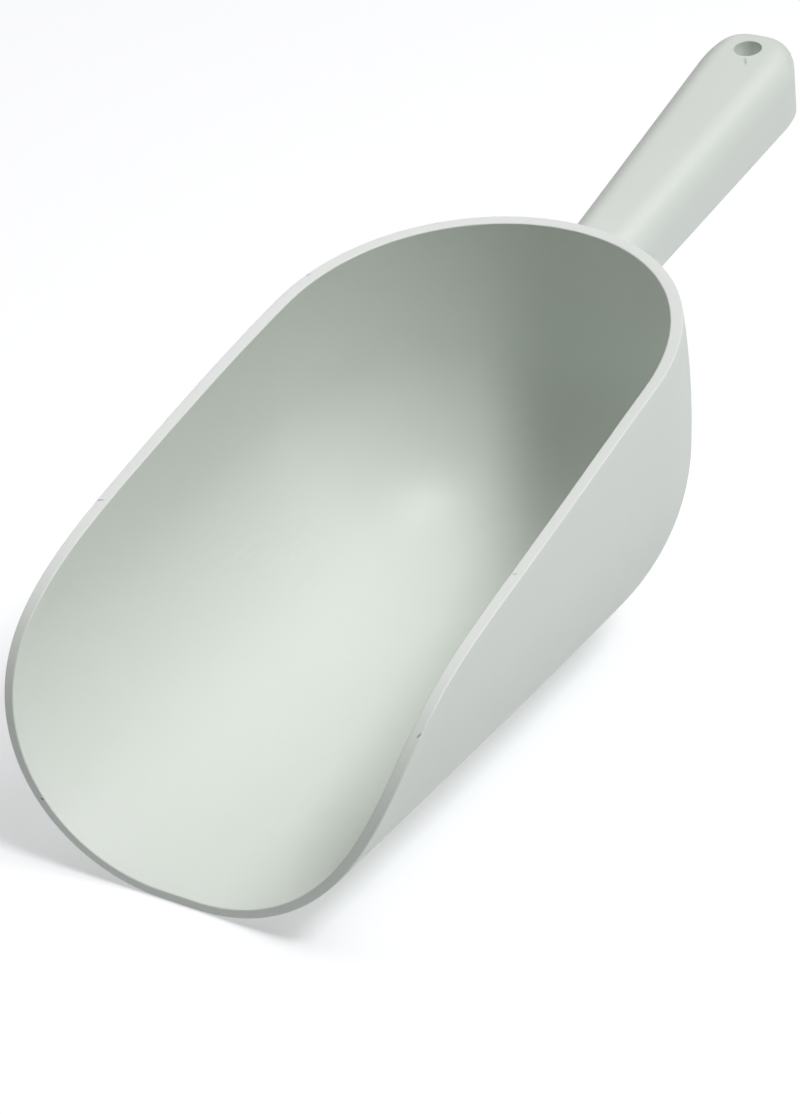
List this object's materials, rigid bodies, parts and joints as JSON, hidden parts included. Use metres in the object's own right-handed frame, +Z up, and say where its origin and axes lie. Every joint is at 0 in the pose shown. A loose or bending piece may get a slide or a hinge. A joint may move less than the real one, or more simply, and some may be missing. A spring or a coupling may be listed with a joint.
{
  "type": "feed scoop",
  "caption": "Open round-bottomed hand scoop moulded in one piece, with a domed back, a squared rim and a hollow rising handle with a hanging hole.",
  "frame": {"origin": "under the middle of the scoop's bounding box, on the surface it rests on", "axes": "+Y from the lip to the handle's tip, +Z up, X across, mirror plane at X = 0"},
  "size_m": [0.1382, 0.3965, 0.1291],
  "materials": {
    "scoop_plastic": "satin moulded polypropylene, off-white with a faint sage-green cast"
  },
  "bodies": {
    "root": {"trough": "scoop_plastic", "back_dome": "scoop_plastic", "lip_edge": "scoop_plastic", "rim_edge": "scoop_plastic", "handle_channel": "scoop_plastic", "handle_nose": "scoop_plastic", "hang_eye": "scoop_plastic"}
  },
  "joints": []
}
